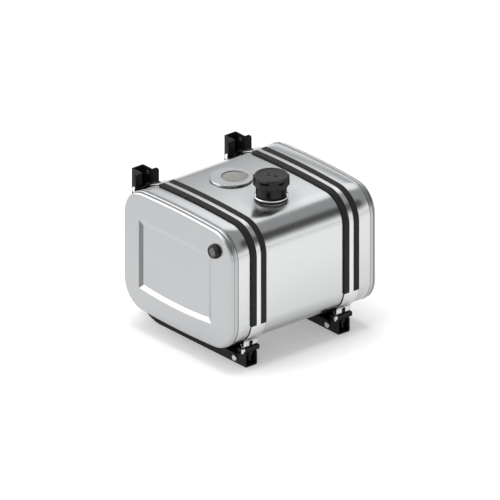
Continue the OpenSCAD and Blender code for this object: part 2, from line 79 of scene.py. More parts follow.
# ---------------------------------------------------------------- materials
class Mat:
    def __init__(self, name, color, metallic=0.0, rough=0.5, **kw):
        self.m = bpy.data.materials.new(name)
        self.m.use_nodes = True
        self.nt = self.m.node_tree
        self.bsdf = self.nt.nodes["Principled BSDF"]
        self.set("Base Color", (*color, 1.0))
        self.set("Metallic", metallic)
        self.set("Roughness", rough)
        for k, v in kw.items():
            self.set(k.replace("_", " "), v)
        self.color = color
        self.coord = self.node("ShaderNodeTexCoord")

    def set(self, name, v):
        self.bsdf.inputs[name].default_value = v

    def node(self, kind, **kw):
        n = self.nt.nodes.new(kind)
        for k, v in kw.items():
            setattr(n, k, v)
        return n

    def link(self, a, b):
        self.nt.links.new(a, b)

    def mapped(self, scale, coord="Object", rot=(0, 0, 0)):
        mp = self.node("ShaderNodeMapping")
        mp.inputs["Scale"].default_value = scale
        mp.inputs["Rotation"].default_value = rot
        self.link(self.coord.outputs[coord], mp.inputs["Vector"])
        return mp.outputs["Vector"]

    def noise(self, scale, vec, detail=3.0, rough=0.5):
        n = self.node("ShaderNodeTexNoise")
        n.inputs["Scale"].default_value = scale
        n.inputs["Detail"].default_value = detail
        n.inputs["Roughness"].default_value = rough
        self.link(vec, n.inputs["Vector"])
        return n.outputs["Fac"]

    def ramp(self, fac, lo, hi, a=0.0, b=1.0):
        r = self.node("ShaderNodeMapRange")
        r.inputs["From Min"].default_value = a
        r.inputs["From Max"].default_value = b
        r.inputs["To Min"].default_value = lo
        r.inputs["To Max"].default_value = hi
        self.link(fac, r.inputs["Value"])
        return r.outputs["Result"]

    def mixed_color(self, fac, c1, c2):
        mx = self.node("ShaderNodeMix", data_type="RGBA")
        self.link(fac, mx.inputs[0])
        mx.inputs[6].default_value = (*c1, 1)
        mx.inputs[7].default_value = (*c2, 1)
        self.link(mx.outputs[2], self.bsdf.inputs["Base Color"])
        return mx

    def math(self, op, a, b):
        n = self.node("ShaderNodeMath", operation=op)
        for i, v in enumerate((a, b)):
            if isinstance(v, (int, float)):
                n.inputs[i].default_value = v
            else:
                self.link(v, n.inputs[i])
        return n.outputs[0]

    def rough_from(self, val):
        self.link(val, self.bsdf.inputs["Roughness"])

    def bump(self, height, strength=0.2, distance=0.001):
        b = self.node("ShaderNodeBump")
        b.inputs["Strength"].default_value = strength
        b.inputs["Distance"].default_value = distance
        self.link(height, b.inputs["Height"])
        self.link(b.outputs["Normal"], self.bsdf.inputs["Normal"])
        return b


def brushed(name, color, rough, stretch, fine=0.10, spread=0.05, grain=900.0, dirt=0.04):
    """Metal with a grain: streaks are long where stretch is small."""
    m = Mat(name, color, 1.0, rough)
    g1 = m.noise(1.0, m.mapped(tuple(grain * s for s in stretch)), 2.0, 0.6)
    g2 = m.noise(1.0, m.mapped(tuple(grain * 0.22 * s for s in stretch)), 3.0, 0.6)
    broad = m.noise(6.0, m.mapped((1, 1, 1)), 2.0, 0.5)
    r = m.math("ADD", m.ramp(g1, -spread, spread), m.ramp(g2, rough - spread, rough + spread))
    r = m.math("ADD", r, m.ramp(broad, -0.03, 0.03))
    m.rough_from(r)
    dark = tuple(c * (1 - dirt * 2) for c in color)
    m.mixed_color(m.math("MULTIPLY", m.math("ADD", g2, broad), 0.5), dark, color)
    m.bump(m.math("ADD", m.math("MULTIPLY", g1, 0.6), g2), fine, 0.0004)
    return m.m


M = {}
M["shell"] = brushed("rolled_aluminium", (0.63, 0.64, 0.642), 0.20, (1.0, 0.012, 0.012), fine=0.06, spread=0.03)
# painted shade: the end panels' aluminium gets a darker base colour than the wrap's, for the shaded end faces
M["cap_end"] = brushed("pressed_aluminium", (0.435, 0.44, 0.445), 0.20, (0.25, 0.25, 0.25), fine=0.03, spread=0.02, grain=500.0)
M["mill"] = brushed("mill_aluminium", (0.70, 0.71, 0.72), 0.42, (0.3, 0.3, 0.3), fine=0.1, grain=500.0)
M["band"] = brushed("stainless_band", (0.68, 0.68, 0.68), 0.24, (1.0, 0.01, 0.01), fine=0.08, spread=0.04, grain=1600.0)
M["turned"] = brushed("turned_aluminium", (0.80, 0.80, 0.81), 0.16, (0.3, 0.3, 1.0), fine=0.03, spread=0.02, grain=1200.0)
M["zinc"] = brushed("zinc_plate", (0.74, 0.75, 0.76), 0.28, (1.0, 1.0, 1.0), fine=0.06, spread=0.05, grain=700.0)
M["spring"] = brushed("spring_wire", (0.50, 0.51, 0.53), 0.30, (1.0, 1.0, 1.0), fine=0.05)
M["brass"] = brushed("brass_turned", (0.78, 0.58, 0.28), 0.25, (0.3, 0.3, 1.0), fine=0.05)


def cover_metal():
    m = Mat("cover_anodised", (0.40, 0.385, 0.37), 1.0, 0.38)
    g = m.noise(1.0, m.mapped((420.0, 420.0, 420.0)), 3.0, 0.6)
    w = m.noise(1.0, m.mapped((9.0, 140.0, 9.0)), 2.0, 0.5)
    m.rough_from(m.ramp(g, 0.36, 0.50))
    m.mixed_color(m.math("MULTIPLY", m.math("ADD", g, w), 0.5), (0.34, 0.33, 0.31), (0.44, 0.425, 0.405))
    m.bump(g, 0.05, 0.0004)
    return m.m


M["cover"] = cover_metal()


def powder():
    m = Mat("black_powder_coat", (0.004, 0.004, 0.004), 0.0, 0.42, Specular_IOR_Level=0.16)
    n = m.noise(900.0, m.mapped((1, 1, 1)), 2.0, 0.5)
    b = m.noise(14.0, m.mapped((1, 1, 1)), 4.0, 0.6)
    m.rough_from(m.math("ADD", m.ramp(n, -0.04, 0.04), m.ramp(b, 0.34, 0.50)))
    m.mixed_color(b, (0.005, 0.005, 0.005), (0.009, 0.009, 0.009))
    m.bump(n, 0.25, 0.0004)
    return m.m


def rubber(name, c1, c2, rough=0.62):
    m = Mat(name, c1, 0.0, rough, Specular_IOR_Level=0.22)
    n = m.noise(1300.0, m.mapped((1, 1, 1)), 2.0, 0.6)
    b = m.noise(35.0, m.mapped((1, 1, 1)), 3.0, 0.6)
    m.rough_from(m.ramp(n, rough - 0.07, rough + 0.07))
    m.mixed_color(m.math("MULTIPLY", m.math("ADD", b, n), 0.5), c1, c2)
    m.bump(n, 0.3, 0.0005)
    return m.m


def plastic(name, c1, c2, rough, scale=1100.0, bump=0.25):
    m = Mat(name, c1, 0.0, rough, Specular_IOR_Level=0.14)
    n = m.noise(scale, m.mapped((1, 1, 1)), 1.0, 0.5)
    b = m.noise(22.0, m.mapped((1, 1, 1)), 3.0, 0.6)
    m.rough_from(m.math("ADD", m.ramp(n, -0.05, 0.05), m.ramp(b, rough - 0.04, rough + 0.04)))
    m.mixed_color(b, c1, c2)
    m.bump(n, bump, 0.0004)
    return m.m


M["powder"] = powder()
M["rubber"] = rubber("edging_rubber", (0.007, 0.007, 0.0075), (0.014, 0.014, 0.0145))
M["pad"] = rubber("pad_rubber", (0.005, 0.005, 0.005), (0.010, 0.010, 0.010), 0.7)
M["plastic"] = plastic("cap_plastic", (0.020, 0.020, 0.0205), (0.032, 0.032, 0.0325), 0.5)
M["dark"] = plastic("dark_plastic", (0.022, 0.022, 0.023), (0.035, 0.035, 0.036), 0.5)


def paper():
    m = Mat("filter_paper", (0.62, 0.56, 0.42), 0.0, 0.9)
    n = m.noise(260.0, m.mapped((1, 1, 1)), 4.0, 0.7)
    m.mixed_color(n, (0.55, 0.49, 0.36), (0.70, 0.64, 0.50))
    m.rough_from(m.ramp(n, 0.82, 0.95))
    m.bump(n, 0.3, 0.0006)
    return m.m


M["paper"] = paper()
M["black_zinc"] = plastic("black_zinc_plate", (0.006, 0.006, 0.007), (0.014, 0.014, 0.015), 0.40, 600.0, 0.1)


def lens():
    m = Mat("clear_lens", (0.55, 0.57, 0.57), 0.0, 0.06, Transmission_Weight=0.9, IOR=1.35, Specular_IOR_Level=0.25)
    n = m.noise(40.0, m.mapped((1, 1, 1)), 2.0, 0.5)
    m.rough_from(m.ramp(n, 0.03, 0.10))
    return m.m


M["lens"] = lens()
M["plug"] = plastic("grey_plug", (0.030, 0.030, 0.031), (0.050, 0.050, 0.052), 0.55)
M["ring_plate"] = brushed("ring_satin", (0.55, 0.555, 0.56), 0.26, (0.3, 0.3, 1.0), fine=0.03, spread=0.03, grain=1200.0)


def painted_lit_end_plate(name, edge_x):
    """Black plate with a painted highlight: its near end is coloured as bright bare metal where light falls on it."""
    m = Mat(name, (0.01, 0.01, 0.01), 0.0, 0.45, Specular_IOR_Level=0.2)
    tc = m.nt.nodes.new("ShaderNodeTexCoord")
    xyz = m.nt.nodes.new("ShaderNodeSeparateXYZ")
    m.nt.links.new(tc.outputs["Object"], xyz.inputs[0])
    n = m.noise(300.0, m.mapped((1, 1, 1)), 2.0, 0.6)
    mr = m.nt.nodes.new("ShaderNodeMapRange")
    m.nt.links.new(m.math("ADD", xyz.outputs["X"], m.math("MULTIPLY", n, 0.002)), mr.inputs["Value"])
    for k, v in (("From Min", edge_x - 0.0015), ("From Max", edge_x + 0.0015), ("To Min", 1.0), ("To Max", 0.0)):
        mr.inputs[k].default_value = v
    front = m.nt.nodes.new("ShaderNodeMapRange")
    m.nt.links.new(xyz.outputs["Y"], front.inputs["Value"])
    for k, v in (("From Min", -0.573), ("From Max", -0.569), ("To Min", 1.0), ("To Max", 0.0)):
        front.inputs[k].default_value = v
    # painted highlight mask: the front part of the near end
    both = m.math("MULTIPLY", mr.outputs["Result"], front.outputs["Result"])
    mx = m.nt.nodes.new("ShaderNodeMix")
    mx.data_type = "RGBA"
    mx.inputs[6].default_value = (0.008, 0.008, 0.0085, 1)
    mx.inputs[7].default_value = (0.72, 0.72, 0.72, 1)
    m.nt.links.new(both, mx.inputs[0])
    bsdf = m.nt.nodes["Principled BSDF"]
    m.nt.links.new(mx.outputs[2], bsdf.inputs["Base Color"])
    m.nt.links.new(both, bsdf.inputs["Metallic"])
    return m.m


# tension plates, black with a painted highlight on the near end
M["painted_lit_end_near"] = painted_lit_end_plate("painted_lit_end_plate_near", -0.2215)
M["painted_lit_end_far"] = painted_lit_end_plate("painted_lit_end_plate_far", 0.1715)


def part_tone(mat, attribute, tone):
    """Blends a material's colour to a tone where the mesh's attribute says so."""
    nt = M[mat].node_tree
    bsdf = nt.nodes["Principled BSDF"]
    at = nt.nodes.new("ShaderNodeAttribute")
    at.attribute_name = attribute
    mx = nt.nodes.new("ShaderNodeMix")
    mx.data_type = "RGBA"
    src = bsdf.inputs["Base Color"].links[0].from_socket
    nt.links.new(at.outputs["Fac"], mx.inputs[0])
    nt.links.new(src, mx.inputs[6])
    mx.inputs[7].default_value = (*tone, 1)
    nt.links.new(mx.outputs[2], bsdf.inputs["Base Color"])


# painted shade on the end panels' bead groove and recess walls
part_tone("cap_end", "painted_shade", (0.05, 0.05, 0.05))
# painted highlight on one wall of the end panels' recess
part_tone("cap_end", "painted_highlight", (0.72, 0.725, 0.73))
# painted shade in the recessed pockets and slots of plastic turned pieces
part_tone("plastic", "painted_pocket_shade", (0.001, 0.001, 0.001))


def painted_underside_shade():
    """Darkens the wrap's colour towards its underside as painted shade, and roughens it round the filler's weld."""
    nt = M["shell"].node_tree
    bsdf = nt.nodes["Principled BSDF"]
    co = nt.nodes.new("ShaderNodeTexCoord")
    sp = nt.nodes.new("ShaderNodeSeparateXYZ")
    nt.links.new(co.outputs["Object"], sp.inputs[0])

    def span(src, a, b, lo, hi):
        r = nt.nodes.new("ShaderNodeMapRange")
        r.interpolation_type = "SMOOTHSTEP"
        for k, v in (("From Min", a), ("From Max", b), ("To Min", lo), ("To Max", hi)):
            r.inputs[k].default_value = v
        nt.links.new(src, r.inputs["Value"])
        return r.outputs["Result"]

    def both(op, a, b):
        m = nt.nodes.new("ShaderNodeMath")
        m.operation = op
        nt.links.new(a, m.inputs[0])
        nt.links.new(b, m.inputs[1])
        return m.outputs[0]

    # painted shade: the base colour is multiplied darker towards the bottom
    underside_shade = both("MULTIPLY", span(sp.outputs["Z"], -0.232, -0.165, 0.62, 1.0), span(sp.outputs["Z"], -0.21, 0.09, 0.83, 1.0))
    mx = nt.nodes.new("ShaderNodeMix")
    mx.data_type = "RGBA"
    mx.blend_type = "MULTIPLY"
    mx.inputs[0].default_value = 1.0
    src = bsdf.inputs["Base Color"].links[0].from_socket
    nt.links.new(src, mx.inputs[6])
    nt.links.new(underside_shade, mx.inputs[7])
    nt.links.new(mx.outputs[2], bsdf.inputs["Base Color"])
    d = nt.nodes.new("ShaderNodeVectorMath")
    d.operation = "DISTANCE"
    d.inputs[1].default_value = (-0.012, -0.459, 0.202)
    nt.links.new(co.outputs["Object"], d.inputs[0])
    rough = bsdf.inputs["Roughness"].links[0].from_socket
    nt.links.new(both("ADD", rough, span(d.outputs["Value"], 0.068, 0.120, 0.16, 0.0)), bsdf.inputs["Roughness"])


painted_underside_shade()


# ---------------------------------------------------------------- mesh helpers
def finish_mesh(name, verts, faces, mat, body="tank", replace=(), sharp=35.0, merge=0.0):
    me = bpy.data.meshes.new(name)
    me.from_pydata([tuple(v) for v in verts], [], [tuple(f) for f in faces])
    bm = bmesh.new()
    bm.from_mesh(me)
    if merge:
        bmesh.ops.remove_doubles(bm, verts=bm.verts, dist=merge)
    bmesh.ops.recalc_face_normals(bm, faces=bm.faces)
    bm.to_mesh(me)
    bm.free()
    me.validate()
    me.shade_smooth()
    me.set_sharp_from_angle(angle=math.radians(sharp))
    o = bpy.data.objects.new(name, me)
    bpy.context.scene.collection.objects.link(o)
    me.materials.append(M[mat])
    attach(o, body)
    if replace:
        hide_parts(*replace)
    return o


def grid_faces(rows, n, closed=True, loop_rows=False, start=0):
    f = []
    last = rows if loop_rows else rows - 1
    for i in range(last):
        for j in range(n if closed else n - 1):
            a, b = start + i * n + j, start + i * n + (j + 1) % n
            c, d = start + ((i + 1) % rows) * n + (j + 1) % n, start + ((i + 1) % rows) * n + j
            f.append((a, b, c, d))
    return f


def bake(o):
    """Applies an object's modifiers to its mesh."""
    dg = bpy.context.evaluated_depsgraph_get()
    me = bpy.data.meshes.new_from_object(o.evaluated_get(dg), depsgraph=dg)
    old = o.data
    o.modifiers.clear()
    o.data = me
    bpy.data.meshes.remove(old)


def cut(o, cutters, sharp=35.0):
    """Cuts solids, given as (verts, faces), out of an object."""
    for k, (v, f) in enumerate(cutters):
        me = bpy.data.meshes.new("cutter")
        me.from_pydata([tuple(p) for p in v], [], f)
        bm = bmesh.new(); bm.from_mesh(me)
        bmesh.ops.recalc_face_normals(bm, faces=bm.faces)
        bm.to_mesh(me); bm.free()
        c = bpy.data.objects.new("cutter", me)
        bpy.context.scene.collection.objects.link(c)
        md = o.modifiers.new("cut", "BOOLEAN")
        md.operation, md.solver, md.object = "DIFFERENCE", "EXACT", c
        bpy.context.view_layer.update()
        bake(o)
        bpy.data.objects.remove(c)
        bpy.data.meshes.remove(me)
    o.data.shade_smooth()
    o.data.set_sharp_from_angle(angle=math.radians(sharp))


def cyl_solid(c, axis, r, h, n=32):
    """Cylinder from centre c - axis*h/2 to c + axis*h/2, in tank millimetres."""
    ax = Vector(axis).normalized()
    u = ax.orthogonal().normalized()
    w = ax.cross(u)
    v = []
    for s in (-0.5, 0.5):
        for k in range(n):
            a = 2 * PI * k / n
            p = Vector(c) + ax * (h * s) + (u * math.cos(a) + w * math.sin(a)) * r
            v.append(T(*p))
    f = [(k, (k + 1) % n, n + (k + 1) % n, n + k) for k in range(n)]
    f += [tuple(range(n - 1, -1, -1)), tuple(range(n, 2 * n))]
    return v, f


def box_solid(lo, hi):
    v = [T(x, y, z) for x in (lo[0], hi[0]) for y in (lo[1], hi[1]) for z in (lo[2], hi[2])]
    return v, [(0, 1, 3, 2), (4, 6, 7, 5), (0, 4, 5, 1), (2, 3, 7, 6), (0, 2, 6, 4), (1, 5, 7, 3)]


def lathe(name, profile, cx, cy, mat, body="tank", replace=(), n=128, axis="Z", z0=0.0, mod=None, sharp=35.0, closed_loop=True):
    """Turned piece: profile is (r, h) in millimetres, a closed loop, or open with r 0 at both ends."""
    verts, faces, rings, pocket_shade = [], [], [], []
    for k, (r, h) in enumerate(profile):
        if r < 1e-6:
            rings.append([len(verts)])
            verts.append((0.0, 0.0, h))
            pocket_shade.append(0.0)
        else:
            idx = []
            for j in range(n):
                a = 2 * PI * j / n
                rr, hh = (r, h) if mod is None else mod(r, h, a, k)
                idx.append(len(verts))
                # painted shade: how far mod cuts the point in, used to darken recesses
                pocket_shade.append(max(0.0, min(1.0, (r - rr) / 2.6)))
                verts.append((rr * math.cos(a), rr * math.sin(a), hh))
            rings.append(idx)
    pairs = list(zip(rings, rings[1:]))
    if closed_loop:
        pairs.append((rings[-1], rings[0]))
    for a, b in pairs:
        if len(a) == 1 and len(b) == 1:
            continue
        for j in range(n):
            k = (j + 1) % n
            if len(a) == 1:
                faces.append((a[0], b[k], b[j]))
            elif len(b) == 1:
                faces.append((a[j], a[k], b[0]))
            else:
                faces.append((a[j], a[k], b[k], b[j]))
    if axis == "Z":
        vv = [T(cx + x, cy + y, z0 + z) for x, y, z in verts]
    elif axis == "-X":   # h grows along -X; cx is the face, (cy, z0) the centre
        vv = [T(cx - z, cy + x, z0 + y) for x, y, z in verts]
    o = finish_mesh(name, vv, faces, mat, body, replace, sharp)
    # stores the painted recess shade as a vertex attribute
    if mod is not None and len(o.data.vertices) == len(pocket_shade):
        o.data.attributes.new("painted_pocket_shade", "FLOAT", "POINT").data.foreach_set("value", pocket_shade)
    return o


def rounded(pts, r, seg=4):
    """Rounds the corners of an open or closed list of 2-D points; r is one radius or a list."""
    out, n = [], len(pts)
    for i, p in enumerate(pts):
        rr = r[i] if isinstance(r, (list, tuple)) else r
        a, b = Vector(pts[i - 1]), Vector(pts[(i + 1) % n])
        p = Vector(p)
        if rr <= 0:
            out.append(tuple(p)); continue
        u, v = (a - p).normalized(), (b - p).normalized()
        ang = math.acos(max(-1, min(1, u.dot(v))))
        d = rr / math.tan(ang / 2)
        d = min(d, (a - p).length * 0.49, (b - p).length * 0.49)
        rr = d * math.tan(ang / 2)
        c = p + (u + v).normalized() * (rr / math.sin(ang / 2))
        s, e = p + u * d - c, p + v * d - c
        a0, a1 = math.atan2(s.y, s.x), math.atan2(e.y, e.x)
        da = (a1 - a0 + PI) % (2 * PI) - PI
        for k in range(seg + 1):
            t = a0 + da * k / seg
            out.append((c.x + rr * math.cos(t), c.y + rr * math.sin(t)))
    return out


# ---------------------------------------------------------------- tank section
CR, CA, CYC = 97.5, math.radians(3.0), 177.5
BIG = CYC / math.sin(CA) + CR
ZHI = 432.0 - BIG + (BIG - CR) * math.cos(CA)
ZLO = 432.0 - ZHI


def arc_pts(cy, cz, r, a0, a1, n, last=False):
    out = []
    for k in range(n + (1 if last else 0)):
        a = math.radians(a0 + (a1 - a0) * k / n)
        out.append(((cy + r * math.cos(a), cz + r * math.sin(a)), (math.cos(a), math.sin(a))))
    return out


def section_pts(nc=36, nt=40, ns=22):
    s = []
    s += arc_pts(0, 432 - BIG, BIG, 90, 93, nt // 2)
    s += arc_pts(-CYC, ZHI, CR, 93, 180, nc)
    s += [((-275.0, ZHI + (ZLO - ZHI) * k / ns), (-1.0, 0.0)) for k in range(ns)]
    s += arc_pts(-CYC, ZLO, CR, 180, 267, nc)
    s += arc_pts(0, BIG, BIG, 267, 273, nt)
    s += arc_pts(CYC, ZLO, CR, 273, 360, nc)
    s += [((275.0, ZLO + (ZHI - ZLO) * k / ns), (1.0, 0.0)) for k in range(ns)]
    s += arc_pts(CYC, ZHI, CR, 0, 87, nc)
    s += arc_pts(0, 432 - BIG, BIG, 87, 90, nt // 2)
    return s


SEC = section_pts()


def ring(x, g):
    return [T(x, p[0] + g * n[0], p[1] + g * n[1]) for p, n in SEC]


def build_shell():
    rings = []
    xs = [-279.0, -278.7, -278.2] + [-278.2 + 556.4 * k / 14 for k in range(1, 14)] + [278.2, 278.7, 279.0]
    gs = [-1.0, -0.25] + [0.0] * (len(xs) - 4) + [-0.25, -1.0]
    for x, g in zip(xs, gs):
        rings.append(ring(x, g))
    for x in (279.0, -279.0):
        rings.append(ring(x, -3.0))
    verts = [v for r in rings for v in r]
    return finish_mesh("tank_shell", verts, grid_faces(len(rings), len(SEC), True, True), "shell", replace=["shell"])


def recess_side(q, t, g):
    """Point at t along side q of the recess outline drawn in by g; q 0 right, 1 bottom, 2 left, 3 top, from the tank's +Y side."""
    y0, y1 = -170 + g, 195 - g

    def low(y):
        return 76 + g + (y - 12) ** 2 / 3480.0

    def high(y):
        return 334 - g - (y - 12) ** 2 / 7800.0

    if q == 0:
        return y1, low(y1) + (high(y1) - low(y1)) * t
    if q == 1:
        y = y1 + (y0 - y1) * t
        return y, high(y)
    if q == 2:
        return y0, high(y0) + (low(y0) - high(y0)) * t
    y = y0 + (y1 - y0) * t
    return y, low(y)


def build_end(name, node, side):
    prof = [(-2.2, 28.3), (-1.7, 27.7), (-0.7, 27.2), (-0.1, 26.5), (0.0, 25.7), (0.0, 24.6), (0.12, 23.6), (0.5, 22.7), (0.95, 21.6), (1.25, 20.4), (1.32, 19.2), (1.2, 18.0),
            (0.8, 16.9), (0.1, 16.0), (-0.7, 15.3), (-1.6, 14.7), (-2.4, 14.0), (-2.7, 13.1), (-2.4, 12.2), (-1.5, 11.6), (-0.5, 11.2)]
    for k in range(0, 13):
        a = math.radians(90 * k / 12)
        prof.append((-11 + 11 * math.cos(a), 11 - 11 * math.sin(a)))
    prof += [(-12.5, 0.0), (-16.0, 0.0)]
    rows = []
    for g, s in prof:
        rows.append([(s, p[0] + g * n[0], p[1] + g * n[1]) for p, n in SEC])
    c = Vector((12.5, 205.0))
    base = [Vector((p[0] - 16 * n[0], p[1] - 16 * n[1])) for p, n in SEC]
    count = len(base)
    corners = [recess_side(q, 0.0, 0.0) for q in range(4)]
    ang = [math.atan2(cn[1] - c.y, cn[0] - c.x) for cn in corners]
    th = [math.atan2(p.y - c.y, p.x - c.x) for p in base]
    at = [min(range(count), key=lambda i: abs((th[i] - t + PI) % (2 * PI) - PI)) for t in ang]
    step = 1 if (at[1] - at[0]) % count < count / 2 else -1
    place = {}
    for q in range(4):
        i, j = at[q], at[(q + 1) % 4]
        total = ((j - i) * step) % count
        # spaced by the angle seen from the middle, so the rows stay smooth
        a0, a1 = recess_side(q, 0.0, 0.0), recess_side(q, 1.0, 0.0)
        for k in range(total):
            idx = (i + step * k) % count
            lo, hi = 0.0, 1.0
            goal = (th[idx] - ang[q] + PI) % (2 * PI) - PI
            sgn = 1 if ((ang[(q + 1) % 4] - ang[q] + PI) % (2 * PI) - PI) > 0 else -1
            for _ in range(24):
                mid = (lo + hi) / 2
                p = recess_side(q, mid, 0.0)
                t = (math.atan2(p[1] - c.y, p[0] - c.x) - ang[q] + PI) % (2 * PI) - PI
                if t * sgn < goal * sgn:
                    lo = mid
                else:
                    hi = mid
            place[idx] = (q, 0.0 if k == 0 else lo)

    def recess_row(g, s):
        out = []
        for i in range(count):
            q, t = place[i]
            y, z = recess_side(q, t, g)
            if t == 0.0:
                v = Vector((y, z))
                v += (c - v).normalized() * 1.6
                y, z = v.x, v.y
            out.append((s, y, z))
        return out

    edge = recess_row(-1.0, 0.0)
    for t in (0.25, 0.5, 0.75, 0.93):
        rows.append([(0.0, b.x + (e[1] - b.x) * t, b.y + (e[2] - b.y) * t) for b, e in zip(base, edge)])
    rows.append(edge)
    wall0 = len(rows)
    for g, s in ((-0.4, 0.02), (0.2, 0.13), (0.8, 0.30), (2.0, 0.67), (8.0, 2.5), (14.0, 4.33), (15.2, 4.70), (15.8, 4.87), (16.4, 4.98), (17.0, 5.0)):
        rows.append(recess_row(g, s))
    wall1 = len(rows) - 1
    rows.append(recess_row(18.5, 5.0))
    inner = rows[-1]
    for f in (0.9, 0.6, 0.3):
        rows.append([(5.0, c.x + (p[1] - c.x) * f, c.y + (p[2] - c.y) * f) for p in inner])
    verts = [T(side * (307.5 - s), y, z) for row in rows for s, y, z in row]
    n = len(SEC)
    faces = grid_faces(len(rows), n)
    verts.append(T(side * 302.5, c.x, c.y))
    k = (len(rows) - 1) * n
    faces += [(k + j, k + (j + 1) % n, len(verts) - 1) for j in range(n)]
    if side > 0:
        faces = [tuple(reversed(f)) for f in faces]
    o = finish_mesh(name, verts, faces, "cap_end", sharp=60)
    me = o.data
    # painted shade held in a vertex attribute: the bead's groove and two walls of the recess get a darker colour
    tone = me.attributes.new("painted_shade", "FLOAT", "POINT")
    vals = [0.0] * len(me.vertices)
    # painted shade: the bead's groove is darkened along the outer side
    for r, deep, a0 in ((0, 1.0, 0.15), (1, 1.0, 0.15), (2, 0.5, 0.15), (16, 0.6, 0.5), (17, 1.0, 0.5), (18, 0.6, 0.5)):
        for i in range(n):
            vals[r * n + i] = deep * max(0.0, min(1.0, (-SEC[i][1][0] - a0) / 0.3))
    # painted shade on the recess's side 0 and side 2 walls
    for r in range(wall0, wall1):
        for i in range(n):
            q, t = place[i]
            if q == 0:
                vals[r * n + i] = 0.66
            elif q == 2:
                vals[r * n + i] = 0.22
    tone.data.foreach_set("value", vals)
    # painted highlight: the recess's side 3 wall is lightened
    shine = [0.0] * len(me.vertices)
    for r in range(wall0, wall1):
        for i in range(n):
            if place[i][0] == 3:
                shine[r * n + i] = 1.0
    me.attributes.new("painted_highlight", "FLOAT", "POINT").data.foreach_set("value", shine)
    bm = bmesh.new(); bm.from_mesh(me)
    bm.faces.ensure_lookup_table()
    far = max(bm.faces, key=lambda f: f.calc_center_median().x * side)
    bm.normal_update()
    if far.normal.x * side < 0:
        bmesh.ops.reverse_faces(bm, faces=bm.faces)
    bm.to_mesh(me); bm.free()
    md = o.modifiers.new("thick", "SOLIDIFY")
    md.thickness, md.offset = 0.0026, -1.0
    bpy.context.view_layer.update()
    bake(o)
    o.data.shade_smooth()
    o.data.set_sharp_from_angle(angle=math.radians(50))
    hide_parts(node)
    return o


def build_baffle(name, node, x0):
    """Cross plate with two round windows and a notch above and below."""
    ring_o = [(p[0] - 3.7 * n[0], p[1] - 3.7 * n[1]) for p, n in SEC]
    ring_i = [(p[0] - 26.0 * n[0], p[1] - 26.0 * n[1]) for p, n in SEC]
    n = len(SEC)
    xs = (x0, x0 + 2.4)
    verts, rows = [], []
    loops = [(ring_o, xs[0]), (ring_i, xs[0])]
    for f in (0.8, 0.5, 0.25):
        loops.append(([(q[0] * f, 216 + (q[1] - 216) * f) for q in ring_i], xs[0]))
    back = [(l, xs[1]) for l, _ in reversed(loops)]
    for l, x in loops + back:
        verts += [T(x, y, z) for y, z in l]
    faces = grid_faces(len(loops) * 2, n, True, True)
    o = finish_mesh(name, verts, faces, "mill", sharp=40)
    cutters = [cyl_solid((x0 + 1.2, y, 216), (1, 0, 0), 24, 20, 40) for y in (-170, 170)]
    cutters += [box_solid((x0 - 5, -60, -1), (x0 + 8, 60, 29)), box_solid((x0 - 5, -60, 404), (x0 + 8, 60, 434))]
    cut(o, cutters, 40)
    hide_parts(node)


build_baffle("baffle_plate_near", "baffle_near", -112.5)
build_baffle("baffle_plate_far", "baffle_far", 110.1)
build_shell()
build_end("end_panel_near", "end_cap_near", -1)
build_end("end_panel_far", "end_cap_far", 1)


# ---------------------------------------------------------------- straps
PIN = Vector((315.0, 368.0))
HEAD = Vector((-230.5, 4.0))


def over_tank(back_a, front_a, top=True):
    """(point, normal) down the front, over the crowned tank, at zero offset."""
    s = []
    s += arc_pts(CYC, ZHI, CR, back_a, 87, 18)
    s += arc_pts(0, 432 - BIG, BIG, 87, 93, 40)
    s += arc_pts(-CYC, ZHI, CR, 93, 180, 40)
    s += [((-275.0, ZHI + (ZLO - ZHI) * k / 20), (-1.0, 0.0)) for k in range(20)]
    s += arc_pts(-CYC, ZLO, CR, 180, 180 + front_a, max(4, int(front_a / 2.5)), True)
    return s


def sweep(name, path, profile, x0, mat, replace=(), width=None, caps=True, sharp=35.0):
    """profile: closed list of (x, radial); path: list of (point, normal); width: per-sample x factor."""
    verts = []
    n = len(profile)
    for i, (p, nn) in enumerate(path):
        w = 1.0 if width is None else width[i]
        for x, g in profile:
            verts.append(T(x0 + x * w, p[0] + g * nn[0], p[1] + g * nn[1]))
    faces = grid_faces(len(path), n)
    if caps:
        faces.append(tuple(range(n)))
        faces.append(tuple(range((len(path) - 1) * n, len(path) * n)))
    return finish_mesh(name, verts, faces, mat, replace=replace, sharp=sharp)


